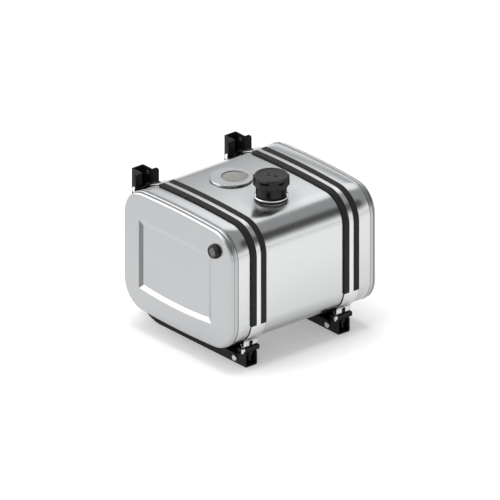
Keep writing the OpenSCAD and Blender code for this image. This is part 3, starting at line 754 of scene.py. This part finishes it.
def band_path():
    """Centre line of the steel band, 3.3 mm off the tank, from the pin's loop to the lower loop."""
    off = 3.3
    lr = 6.3 + 1.0
    d = PIN - Vector((CYC, ZHI))
    ta = math.atan2(d.y, d.x) + math.acos((CR + off - lr) / d.length)
    pts = []
    for k in range(0, 25):
        a = ta - math.radians(250) + math.radians(250) * k / 24
        pts.append(PIN + lr * Vector((math.cos(a), math.sin(a))))
    n = Vector((math.cos(ta), math.sin(ta)))
    q, p = PIN + lr * n, Vector((CYC, ZHI)) + (CR + off) * n
    for k in range(1, 16):
        pts.append(q + (p - q) * k / 16)
    yv = HEAD.x - lr
    ea = math.degrees(math.acos((-yv - CYC) / (CR + off)))
    for (pp, nn) in over_tank(math.degrees(ta), ea - 6):
        pts.append(Vector(pp) + off * Vector(nn))
    zt = pts[-1].y
    kink = Vector((yv, ZLO - (CR + off) * math.sin(math.radians(ea))))
    a0 = pts[-1]
    for t in (0.25, 0.5, 0.75):      # smooth reverse bend into the vertical loop
        end = Vector((yv, kink.y - 9))
        pts.append((1 - t) ** 2 * a0 + 2 * t * (1 - t) * kink + t * t * end)
    pts.append(Vector((yv, kink.y - 9)))
    for k in range(0, 13):
        a = math.radians(180 + 180 * k / 12)
        pts.append(HEAD + lr * Vector((math.cos(a), math.sin(a))))
    pts.append(HEAD + Vector((lr, 3.5)))
    # even out and give normals
    out = []
    for i, p in enumerate(pts):
        a, b = pts[max(i - 1, 0)], pts[min(i + 1, len(pts) - 1)]
        t = (b - a).normalized()
        out.append(((p.x, p.y), (t.y, -t.x)))
    # the outward normal points away from the tank's middle over the top
    mid = out[len(out) // 2]
    if (Vector(mid[0]) - Vector((0, 216))).dot(Vector(mid[1])) < 0:
        out = [(p, (-n[0], -n[1])) for p, n in out]
    return out


def build_strap(tag, x0):
    path = band_path()
    width = []
    for p, n in path:
        y = p[0]
        w = 29.5 if (y < 235 or p[1] < 200) else (18.0 if y > 272 else 29.5 - (y - 235) / 37.0 * 11.5)
        width.append(w / 29.5)
    prof = rounded([(-29.5, -1.0), (29.5, -1.0), (29.5, 1.0), (-29.5, 1.0)], 0.8, 3)
    o = sweep("strap_band_" + tag, path, prof, x0, "band", replace=["strap_" + tag], width=width)
    slot = rounded([(x0 - 7.5, -4.0), (x0 + 7.5, -4.0), (x0 + 7.5, 19.0), (x0 - 7.5, 19.0)], 6.5, 6)
    v = [T(x, y, z) for y in (HEAD.x - 22, HEAD.x + 24) for x, z in slot]
    m = len(slot)
    f = [(k, (k + 1) % m, m + (k + 1) % m, m + k) for k in range(m)] + [tuple(range(m)), tuple(range(m, 2 * m))]
    cut(o, [(v, f)])
    # rubber edging on both edges, C-shaped round the band's edge
    c = [(9.75, 0.4), (32.0, 0.4), (32.0, 6.4), (9.75, 6.4), (9.75, 4.5), (29.8, 4.5), (29.8, 2.1), (9.75, 2.1)]
    prof = rounded(c, [0.3, 1.6, 2.2, 1.4, 0.2, 0.2, 0.2, 0.2], 4)
    epath = [((p[0], p[1]), n) for p, n in over_tank(84, 7.5)]
    for side in (-1, 1):
        pr = [(side * x, g) for x, g in prof]
        sweep("strap_edging_%s_%s" % (tag, "a" if side < 0 else "b"), epath, pr, x0, "rubber", replace=["strap_edging_" + tag])


build_strap("near", -196.5)
build_strap("far", 196.5)


# ---------------------------------------------------------------- brackets
def hat_profile():
    """Open centre-line of the hat section: (x, depth), depth 0 at the web's outer face, lips at 52."""
    t = 2.5
    pts = [(-50.0, 52 - t), (-25.5 + t, 52 - t), (-25.5 + t, t), (25.5 - t, t), (25.5 - t, 52 - t), (50.0, 52 - t)]
    return pts


def build_bracket(tag, x0):
    t = 2.5
    c = hat_profile()
    line = []
    # centre line with rounded bends, densely sampled on the lips
    def seg(a, b, n):
        return [(a[0] + (b[0] - a[0]) * k / n, a[1] + (b[1] - a[1]) * k / n) for k in range(n)]
    def bend(p, a, b, r, n=6):
        p, a, b = Vector(p), Vector(a), Vector(b)
        u, v = (a - p).normalized(), (b - p).normalized()
        cc = p + u * r + v * r
        out = []
        for k in range(n + 1):
            q = PI / 2 * k / n
            out.append(tuple(cc - v * r * math.cos(q) - u * r * math.sin(q)))
        return out
    lipn = 14
    r = 2.8
    l0 = bend(c[1], c[0], c[2], r)
    l1 = bend(c[2], c[1], c[3], r)
    l2 = bend(c[3], c[2], c[4], r)
    l3 = bend(c[4], c[3], c[5], r)
    line += seg(c[0], l0[0], lipn) + l0
    line += seg(l0[-1], l1[0], 6)[1:] + l1
    line += seg(l1[-1], l2[0], 6)[1:] + l2
    line += seg(l2[-1], l3[0], 6)[1:] + l3
    line += [(a + (b[0] - a) * 1.0, bb) for a, bb, b in []]
    tail = seg(l3[-1], c[5], lipn)[1:] + [c[5]]
    line += tail
    # outline of the plate: both sides of the centre line
    nrm = []
    for i in range(len(line)):
        a, b = Vector(line[max(i - 1, 0)]), Vector(line[min(i + 1, len(line) - 1)])
        d = (b - a).normalized()
        nrm.append((-d.y, d.x))
    loop = []
    e = 0.7
    for i, (p, q) in enumerate(zip(line, nrm)):
        loop.append((p[0] + q[0] * t, p[1] + q[1] * t))
    loop.append((line[-1][0] + 0.0, line[-1][1]))
    for p, q in reversed(list(zip(line, nrm))):
        loop.append((p[0] - q[0] * t, p[1] - q[1] * t))
    loop.append((line[0][0], line[0][1]))
    # path: (point on the web's outer face, inward normal)
    path = []
    nz = 24
    for k in range(nz):
        path.append(((337.0, 437.0 - (437.0 - 76.0) * k / nz), (-1.0, 0.0), "up"))
    for k in range(33):
        a = math.radians(-90 * k / 32)
        path.append(((187 + 150 * math.cos(a), 76 + 150 * math.sin(a)), (-math.cos(a), -math.sin(a)), "arc"))
    for k in range(1, 29):
        path.append(((187 - (187 + 240.0) * k / 28, -74.0), (0.0, 1.0), "leg"))
    verts = []
    n = len(loop)
    last = len(path) - 1
    for i, (p, nn, kind) in enumerate(path):
        for x, dpt in loop:
            y, z = p[0] + dpt * nn[0], p[1] + dpt * nn[1]
            ax = abs(x)
            if i == 0 and ax > 38:      # rounded upper corner of the lips
                q = ax - 38
                z -= 12 - math.sqrt(max(0.0, 144 - q * q))
            if kind == "leg" and ax > 25.6:   # the lips stop short of the tip
                y = max(y, -215.0 + (0 if ax > 30 else -(30 - ax) * 3))
            verts.append(T(x0 + x, y, z))
    faces = grid_faces(len(path), n)
    faces.append(tuple(range(n)))
    faces.append(tuple(range(last * n, (last + 1) * n)))
    o = finish_mesh("bracket_frame_" + tag, verts, faces, "powder", replace=["bracket_" + tag], sharp=40, merge=0.00002)
    cutters = [cyl_solid((x0, 306, 419), (1, 0, 0), 5.5, 70)]
    for z in (150, 310):
        cutters.append(cyl_solid((x0, 337, z), (0, 1, 0), 7.0, 20))
    cut(o, cutters, 40)
    md = o.modifiers.new("edge", "BEVEL")
    md.width, md.segments, md.limit_method, md.angle_limit = 0.0009, 2, "ANGLE", math.radians(50)
    return o


build_bracket("near", -196.5)
build_bracket("far", 196.5)


# ---------------------------------------------------------------- pads
def rounded_box(name, lo, hi, r, mat, replace=(), top=None):
    bm = bmesh.new()
    bmesh.ops.create_cube(bm, size=1.0)
    for v in bm.verts:
        v.co = T(*[(lo[i] + hi[i]) / 2 + v.co[i] * (hi[i] - lo[i]) for i in range(3)])
    bmesh.ops.subdivide_edges(bm, edges=[e for e in bm.edges if abs(e.verts[0].co.y - e.verts[1].co.y) > 0.01], cuts=24, use_grid_fill=True)
    if top:
        for v in bm.verts:
            y = v.co.y * 1000 + BACK
            if abs(v.co.z - T(0, 0, hi[2]).z) < 1e-6:
                v.co.z = T(0, 0, top(y)).z
    me = bpy.data.meshes.new(name)
    bmesh.ops.recalc_face_normals(bm, faces=bm.faces)
    bm.to_mesh(me); bm.free()
    me.shade_smooth()
    me.set_sharp_from_angle(angle=math.radians(40))
    o = bpy.data.objects.new(name, me)
    bpy.context.scene.collection.objects.link(o)
    me.materials.append(M[mat])
    md = o.modifiers.new("edge", "BEVEL")
    md.width, md.segments, md.limit_method, md.angle_limit = r / 1000.0, 3, "ANGLE", math.radians(50)
    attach(o, "tank")
    if replace:
        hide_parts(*replace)
    return o


def tank_bottom(y):
    if abs(y) < BIG * math.sin(CA):
        return BIG - math.sqrt(BIG * BIG - y * y)
    return ZLO - math.sqrt(max(0.0, CR * CR - (abs(y) - CYC) ** 2))


for tag, x0 in (("near", -196.5), ("far", 196.5)):
    rounded_box("back_pad_" + tag, (x0 - 48, 275.3, 110), (x0 + 48, 284.8, 325), 1.5, "pad", ["back_pads"])
    rounded_box("cradle_pad_" + tag, (x0 - 48, -172, -21.9), (x0 + 48, 172, 0), 1.0, "pad", ["cradle_pads"], top=lambda y: tank_bottom(y) - 0.3)


# ---------------------------------------------------------------- filler neck and cap
FX, FY = -12.0, -122.0
NT = 442.0
neck = [(44, 402), (51.6, 402), (51.6, 432.6), (48.0, 434.0), (48.0, 438.6), (56.2, 439.3), (57.0, 439.5), (57.7, 440.1), (58.0, 441.2), (58.0, 443.4),
        (57.6, 444.3), (56.8, 444.9), (55.9, 445.0), (55.1, 444.6), (54.7, 443.8), (54.4, 442.0), (51.4, 441.9), (44.6, 441.9), (44, 441.4), (44, 406), (40, 406), (40, 402)]
lathe("neck_flange", neck, FX, FY, "turned", replace=["filler_neck"], n=160)
# painted shade: a black collar under the flange's lip stands in for the shade and the cap's reflection below the ring
shade_collar = [(48.2, 434.3), (51.7, 433.3), (51.7, 429.9), (52.6, 429.9), (52.8, 431.0), (52.8, 436.0), (53.2, 437.6), (54.1, 438.5), (55.1, 438.95), (48.2, 438.3)]
lathe("neck_shade_collar", shade_collar, FX, FY, "pad", replace=["neck_boot"] if "neck_boot" in NODES else [], n=128)
gk = [(44.6, 442.1), (49.4, 442.1), (49.9, 442.5), (50.0, 443.2), (49.7, 444.0), (49.2, 444.6), (49.2, 447.3), (44.6, 447.3)]
lathe("cap_seal_ring", gk, FX, FY, "pad", body="cap_seal", replace=["cap_gasket"], n=128)

CT = 515.5          # cap top
HZ = CT - 34.5      # widest ring of the head
SK = NT + 5.9       # skirt bottom


def smooth(e0, e1, x):
    t = max(0.0, min(1.0, (x - e0) / (e1 - e0)))
    return t * t * (3 - 2 * t)


def cap_mod(r, h, a, k):
    # hand lugs on the head, vent pockets in them, slots and ribs down the skirt
    d = math.degrees(a)
    if h > HZ - 0.1 and r > 50:
        u = abs(((d - 21 + 30) % 60) - 30)
        r += (59.9 - r) * smooth(14.6, 12.2, u) * smooth(CT - 2.6, CT - 4.6, h) * smooth(HZ - 0.1, HZ + 2.6, h) * (1 if r > 54.5 else 0)
        w = abs(((d - 28 + 30) % 60) - 30)
        r -= (r - 52.4) * smooth(14.6, 13.2, w) * smooth(CT - 8.4, CT - 9.4, h) * smooth(CT - 17.4, CT - 16.2, h)
    elif SK + 0.5 < h < HZ - 6.6 and r > 47:
        v = abs(((d - 40 + 30) % 60) - 30)
        ends = smooth(SK + 2.4, SK + 3.6, h) * smooth(HZ - 8.2, HZ - 9.6, h)
        r -= 3.2 * smooth(8.2, 7.0, v) * ends
        v = abs(((d - 38 + 30) % 60) - 30)
        r += 1.0 * smooth(2.4, 1.5, abs(v - 12.0)) * smooth(SK + 0.6, SK + 1.6, h) * smooth(HZ - 7.0, HZ - 9.0, h)
    return r, h


prof = [(46.2, SK), (49.0, SK), (49.7, SK + 0.3), (50.0, SK + 1.0)]
prof += [(50.0, SK + 1.0 + (HZ - 6.8 - SK - 1.0) * k / 24) for k in range(1, 25)]
prof += [(50.0 + 6.3 * k / 6, HZ - 6.6 + 6.0 * k / 6) for k in range(1, 7)]
prof += [(56.7, HZ), (56.8, HZ + 0.8)]
prof += [(56.8 - 1.2 * smooth(2, 12, k), HZ + 0.8 + (CT - 3.4 - HZ - 0.8) * k / 34) for k in range(1, 35)]
prof += [(55.4, CT - 2.4), (54.9, CT - 1.4), (54.2, CT - 0.6), (53.2, CT - 0.1), (52.2, CT), (48.6, CT), (47.7, CT - 0.2), (47.2, CT - 0.8), (46.9, CT - 1.6), (46.4, CT - 2.1), (45.4, CT - 2.3),
         (38.0, CT - 2.3), (37.5, CT - 2.0), (36.5, CT - 1.9), (35.9, CT - 2.3), (20.0, CT - 2.3), (6.0, CT - 2.3), (0.0, CT - 2.3)]
inner = [(0.0, CT - 6.0), (20.0, CT - 6.0), (45.2, CT - 6.0), (46.2, CT - 7.0), (46.2, SK)]
lathe("cap_grip", prof + inner[:-1], FX, FY, "plastic", body="cap", replace=["cap_shell"], n=480, mod=cap_mod, closed_loop=True, sharp=32)


# a drop and two turning arrows, raised on the cap's top
def raised(name, outline, h, z0, cx, cy, mat, body):
    n = len(outline)
    verts = [T(cx + x, cy + y, z0) for x, y in outline] + [T(cx + x, cy + y, z0 + h * 0.75) for x, y in outline]
    c = Vector((sum(p[0] for p in outline) / n, sum(p[1] for p in outline) / n))
    verts += [T(cx + c.x + (x - c.x) * 0.96, cy + c.y + (y - c.y) * 0.96, z0 + h) for x, y in outline]
    f = [(k, (k + 1) % n, n + (k + 1) % n, n + k) for k in range(n)]
    f += [(n + k, n + (k + 1) % n, 2 * n + (k + 1) % n, 2 * n + k) for k in range(n)]
    f += [tuple(range(n)), tuple(range(2 * n, 3 * n))]
    return finish_mesh(name, verts, f, mat, body, sharp=30)


def arc_arrow(r, a0, a1, w):
    out = []
    for k in range(13):
        a = math.radians(a0 + (a1 - a0) * k / 12)
        out.append(((r + w) * math.cos(a), (r + w) * math.sin(a)))
    a = math.radians(a1)
    out.append(((r + w * 2.3) * math.cos(a), (r + w * 2.3) * math.sin(a)))
    b = math.radians(a1 + (9 if a1 > a0 else -9))
    out.append((r * math.cos(b), r * math.sin(b)))
    out.append(((r - w * 2.3) * math.cos(a), (r - w * 2.3) * math.sin(a)))
    for k in range(12, -1, -1):
        a = math.radians(a0 + (a1 - a0) * k / 12)
        out.append(((r - w) * math.cos(a), (r - w) * math.sin(a)))
    return out


drop = []
for k in range(28):
    a = 2 * PI * k / 28
    rr = 6.5 if math.sin(a) < 0.2 else 6.5 + 6.0 * max(0.0, math.sin(a) - 0.2) ** 2.2
    drop.append((rr * math.cos(a) * (1 if math.sin(a) < 0 else (1 - 0.75 * math.sin(a) ** 2)), rr * math.sin(a)))
raised("cap_drop_mark", drop, 0.8, CT - 2.35, FX + 6, FY - 16, "pad", "cap")
raised("cap_arrow_a", arc_arrow(10, 20, 75, 1.5), 0.8, CT - 2.35, FX - 3, FY + 11, "pad", "cap")
raised("cap_arrow_b", arc_arrow(10, 200, 255, 1.5), 0.8, CT - 2.35, FX - 3, FY + 11, "pad", "cap")

# ---------------------------------------------------------------- filter cover
GX, GY = -16.0, 76.0
WX, WY = 8.5, -7.0      # the window's shift from the ring's middle
fl = [(46, 421), (67.6, 421), (67.6, 432.0), (68.0, 432.3), (68.0, 434.2), (67.5, 434.7), (49.5, 434.7), (49.5, 428.4), (46, 428.4)]
lathe("filter_weld_flange", fl, GX, GY, "ring_plate", replace=["filter_flange"], n=160)
cr = [(68.7, 435.7), (70.8, 435.7), (71.7, 436.1), (72.0, 436.8), (71.9, 437.5), (71.4, 438.2), (70.6, 438.75), (69.6, 439.05), (68.7, 439.1)]
lathe("cover_clamp_rim", cr, GX, GY, "ring_plate", replace=["clamp_ring"], n=160)
cr = [(0, 435.7), (68.68, 435.7), (68.68, 439.1), (0, 439.1)]
clamp = lathe("cover_clamp_plate", cr, GX, GY, "ring_plate", n=160, closed_loop=False)
holes = [cyl_solid((GX + WX, GY + WY, 437.5), (0, 0, 1), 45.0, 12, 96)]
for k in range(6):
    a = math.radians(30 + 60 * k)
    holes.append(cyl_solid((GX + 62.5 * math.cos(a), GY + 62.5 * math.sin(a), 441.6), (0, 0, 1), 5.9, 10, 40))
cut(clamp, holes, 40)
cv = [(0, 431.4), (49.2, 431.4), (49.2, 435.4), (48.9, 435.6), (0, 435.6)]
lathe("cover_base", cv, GX, GY, "cover", replace=["inspection_cover"], n=128, closed_loop=False)
cv = [(0, 435.8), (43.6, 435.8), (44.2, 436.2), (44.2, 436.8), (43.7, 437.2), (42.8, 437.3), (40.2, 437.3), (39.6, 437.6), (38.8, 437.75), (38.0, 437.6), (37.4, 437.3), (20, 437.3), (0, 437.3)]
lathe("cover_disc", cv, GX + WX, GY + WY, "cover", n=160, closed_loop=False)

# ---------------------------------------------------------------- sight gauge
GYY, GZZ = -190.0, 353.0
body_prof = [(10, -18), (15, -18), (15, 1.4), (24.2, 1.4), (24.8, 1.8), (25.0, 2.6), (25.0, 5.0), (24.6, 6.0), (23.8, 6.5)]
body_prof += [(23.0, 7.0), (22.6, 8.0), (22.4, 12.8), (21.9, 14.0), (20.9, 14.8), (19.4, 15.0), (17.2, 15.0), (16.2, 14.7), (15.6, 14.0), (15.5, 13.0), (15.5, 8.0), (10, 8.0)]


def gauge_mod(r, h, a, k):
    if h > 6.8 and r > 18.5:
        u = abs(((math.degrees(a) + 22.5) % 45) - 22.5)
        flat = math.cos(math.radians(22.5)) / math.cos(math.radians(22.5 - u)) if u < 22.5 else 1.0
        r = r * (0.955 + 0.045 * (1 - (math.cos(math.radians(22.5)) / math.cos(math.radians(u)) - math.cos(math.radians(22.5))) / (1 - math.cos(math.radians(22.5)))))
    return r, h


lathe("gauge_bezel", body_prof, -307.5, GYY, "plastic", replace=["gauge_body"], n=128, axis="-X", z0=GZZ, mod=gauge_mod)
lens_prof = [(0, 9.2), (15.3, 9.2), (15.3, 12.6), (14.9, 13.0), (12.0, 13.5), (7.0, 13.9), (0, 14.0)]
lathe("gauge_window", lens_prof, -307.5, GYY, "lens", replace=["gauge_lens"], n=96, axis="-X", z0=GZZ, closed_loop=False)


def spokes():
    """Black reflector behind the window: a hub, a rim and six spokes."""
    verts, faces = [], []
    n = 96
    prof = []
    for k, (r, h) in enumerate([(0, 8.9), (3.4, 8.9), (4.2, 8.5), (11.5, 8.5), (12.4, 9.0), (15.2, 9.0)]):
        prof.append((r, h))
    def mod(r, h, a, k):
        if 4.0 < r < 12.0:
            u = abs(((math.degrees(a) + 30) % 60) - 30)
            h = 9.0 if u < 9 else 8.3
        return r, h
    back = [(15.2, 8.1), (0, 8.1)]
    return lathe("gauge_spokes", prof + back, -307.5, GYY, "dark", replace=["gauge_reflector"], n=n, axis="-X", z0=GZZ, mod=mod, closed_loop=False)


spokes()

# ---------------------------------------------------------------- plugs in the frame brackets' flanges
for tag, x0 in (("near", -196.5), ("far", 196.5)):
    for n, z in (("upper", 419.0), ("lower", 376.0)):
        pr = [(0, 0.02), (7.4, 0.02), (7.6, 0.4), (7.4, 1.0), (6.2, 2.0), (3.6, 2.6), (0, 2.8)]
        lathe("flange_plug_%s_%s" % (n, tag), pr, x0 + 20.5, 306.0, "plug", n=48, axis="-X", z0=z, closed_loop=False)

# ---------------------------------------------------------------- carried-over CAD nodes
CARRY = {
    "strainer_basket": "zinc", "seal_plate": "dark", "breather_element": "paper",
    "spring_cage": "dark", "relief_poppet": "brass", "relief_spring": "spring", "cap_thread": "plastic", "cover_gasket": "rubber", "cover_screws": "zinc",
    "filter_bowl": "dark", "filter_element": "paper", "filter_spring": "spring", "return_port": "turned", "return_pipe": "mill", "suction_port": "turned",
    "suction_strainer": "zinc", "gauge_seal": "rubber", "gauge_nut": "zinc", "drain_boss": "turned", "drain_washer": "brass", "drain_plug": "zinc",
    "strap_pins": "zinc", "pin_nuts": "zinc", "t_bolts": "black_zinc", "tension_saddle_near": "powder", "tension_saddle_far": "powder", "tension_plate_near": "painted_lit_end_near", "tension_plate_far": "painted_lit_end_far",
    "tension_washer_near": "black_zinc", "tension_washer_far": "black_zinc", "tension_nut_near": "black_zinc", "tension_nut_far": "black_zinc", "leg_bolts": "zinc", "leg_nuts": "zinc"}
BEVEL = {"tension_plate_near": 1.2, "tension_plate_far": 1.2, "tension_saddle_near": 1.0, "tension_saddle_far": 1.0, "strap_pins": 0.5, "pin_nuts": 0.6, "t_bolts": 0.8, "leg_bolts": 0.5, "leg_nuts": 0.6,
         "tension_nut_near": 0.6, "tension_nut_far": 0.6, "drain_plug": 0.8, "return_port": 0.8, "suction_port": 0.8, "drain_boss": 0.6, "cover_screws": 0.3}
for name, mat in CARRY.items():
    if name not in NODES:
        continue
    o = NODES[name]
    o.data.materials.clear()
    o.data.materials.append(M[mat])
    o.data.shade_smooth()
    wd = o.modifiers.new("weld", "WELD")
    wd.merge_threshold = 0.00001
    if name in BEVEL:
        md = o.modifiers.new("edge", "BEVEL")
        md.width, md.segments, md.limit_method, md.angle_limit = BEVEL[name] / 1000.0, 3, "ANGLE", math.radians(35)
        md.harden_normals = False
    o.data.set_sharp_from_angle(angle=math.radians(35))

# ---------------------------------------------------------------- floor, light
FLOOR_Z = CAD_LO.z


def make_floor():
    me = bpy.data.meshes.new("floor")
    s = 14.0
    me.from_pydata([(-s, -s, FLOOR_Z - 0.0005), (s, -s, FLOOR_Z - 0.0005), (s, s, FLOOR_Z - 0.0005), (-s, s, FLOOR_Z - 0.0005)], [], [(0, 1, 2, 3)])
    o = bpy.data.objects.new("floor", me)
    bpy.context.scene.collection.objects.link(o)
    m = Mat("floor_paper", (0.64, 0.64, 0.64), 0.0, 0.9, Specular_IOR_Level=0.1, Emission_Color=(1.0, 1.0, 1.0, 1.0), Emission_Strength=0.34)
    o.data.materials.append(m.m)


make_floor()


def area(name, loc, target, size, power, color=(1, 1, 1)):
    li = bpy.data.lights.new(name, "AREA")
    li.shape, li.size, li.size_y = "RECTANGLE", size[0], size[1]
    li.energy, li.color = power, color
    o = bpy.data.objects.new(name, li)
    bpy.context.scene.collection.objects.link(o)
    o.location = loc
    o.rotation_mode = "QUATERNION"
    o.rotation_quaternion = (Vector(target) - Vector(loc)).to_track_quat("-Z", "Y")
    o.visible_glossy = False
    return o


C = T(0, 0, 200)


def towards(az, el, dist):
    """A place seen from the object at azimuth az (0 = -Y, positive towards +X) and elevation el."""
    a, e = math.radians(az), math.radians(el)
    return C + Vector((math.sin(a) * math.cos(e), -math.cos(a) * math.cos(e), math.sin(e))) * dist


# (azimuth, elevation, half angle of the core, half angle of the edge, level added)
SKY = [(130, 43, 12, 26.5, 0.92), (-136, 18, 10, 42, 2.4), (-108, 56, 15, 33, 1.2)]
DARK = [(42, 29, 4, 17, 0.16), (-38, 28, 6, 20, 0.62)]
SKY_BASE, SKY_HORIZON = 0.40, 1.25


def make_world():
    """A studio round the object: bright panels behind, a dark gap above the front, a pale sweep at the horizon."""
    w = bpy.data.worlds.new("studio")
    bpy.context.scene.world = w
    w.use_nodes = True
    nt = w.node_tree
    bg = nt.nodes["Background"]
    tc = nt.nodes.new("ShaderNodeTexCoord")

    def math_node(op, a, b=None):
        n = nt.nodes.new("ShaderNodeMath")
        n.operation = op
        for i, v in enumerate((a, b)):
            if v is None:
                continue
            if isinstance(v, (int, float)):
                n.inputs[i].default_value = v
            else:
                nt.links.new(v, n.inputs[i])
        return n.outputs[0]

    def smooth_step(v, lo, hi, a, b):
        n = nt.nodes.new("ShaderNodeMapRange")
        n.interpolation_type = "SMOOTHSTEP"
        nt.links.new(v, n.inputs["Value"])
        for k, x in (("From Min", lo), ("From Max", hi), ("To Min", a), ("To Max", b)):
            n.inputs[k].default_value = x
        return n.outputs["Result"]

    def blob(az, el, core, edge, a, b):
        u, e = math.radians(az), math.radians(el)
        d = nt.nodes.new("ShaderNodeVectorMath")
        d.operation = "DOT_PRODUCT"
        nt.links.new(tc.outputs["Generated"], d.inputs[0])
        d.inputs[1].default_value = (math.sin(u) * math.cos(e), -math.cos(u) * math.cos(e), math.sin(e))
        return smooth_step(d.outputs["Value"], math.cos(math.radians(edge)), math.cos(math.radians(core)), a, b)

    xyz = nt.nodes.new("ShaderNodeSeparateXYZ")
    nt.links.new(tc.outputs["Generated"], xyz.inputs[0])
    level = SKY_BASE
    total = smooth_step(xyz.outputs["Z"], 0.04, 0.30, SKY_HORIZON, SKY_BASE)
    for az, el, core, edge, v in SKY:
        total = math_node("ADD", total, blob(az, el, core, edge, 0.0, v))
    for az, el, core, edge, v in DARK:
        total = math_node("MULTIPLY", total, blob(az, el, core, edge, 1.0, v))
    bg.inputs["Color"].default_value = (0.985, 0.99, 1.0, 1)
    nt.links.new(total, bg.inputs["Strength"])


make_world()
area("top", towards(180, 88, 3.2), C, (2.2, 2.2), 105)

sc = bpy.context.scene
sc.view_settings.view_transform = "Standard"
sc.view_settings.look = "None"
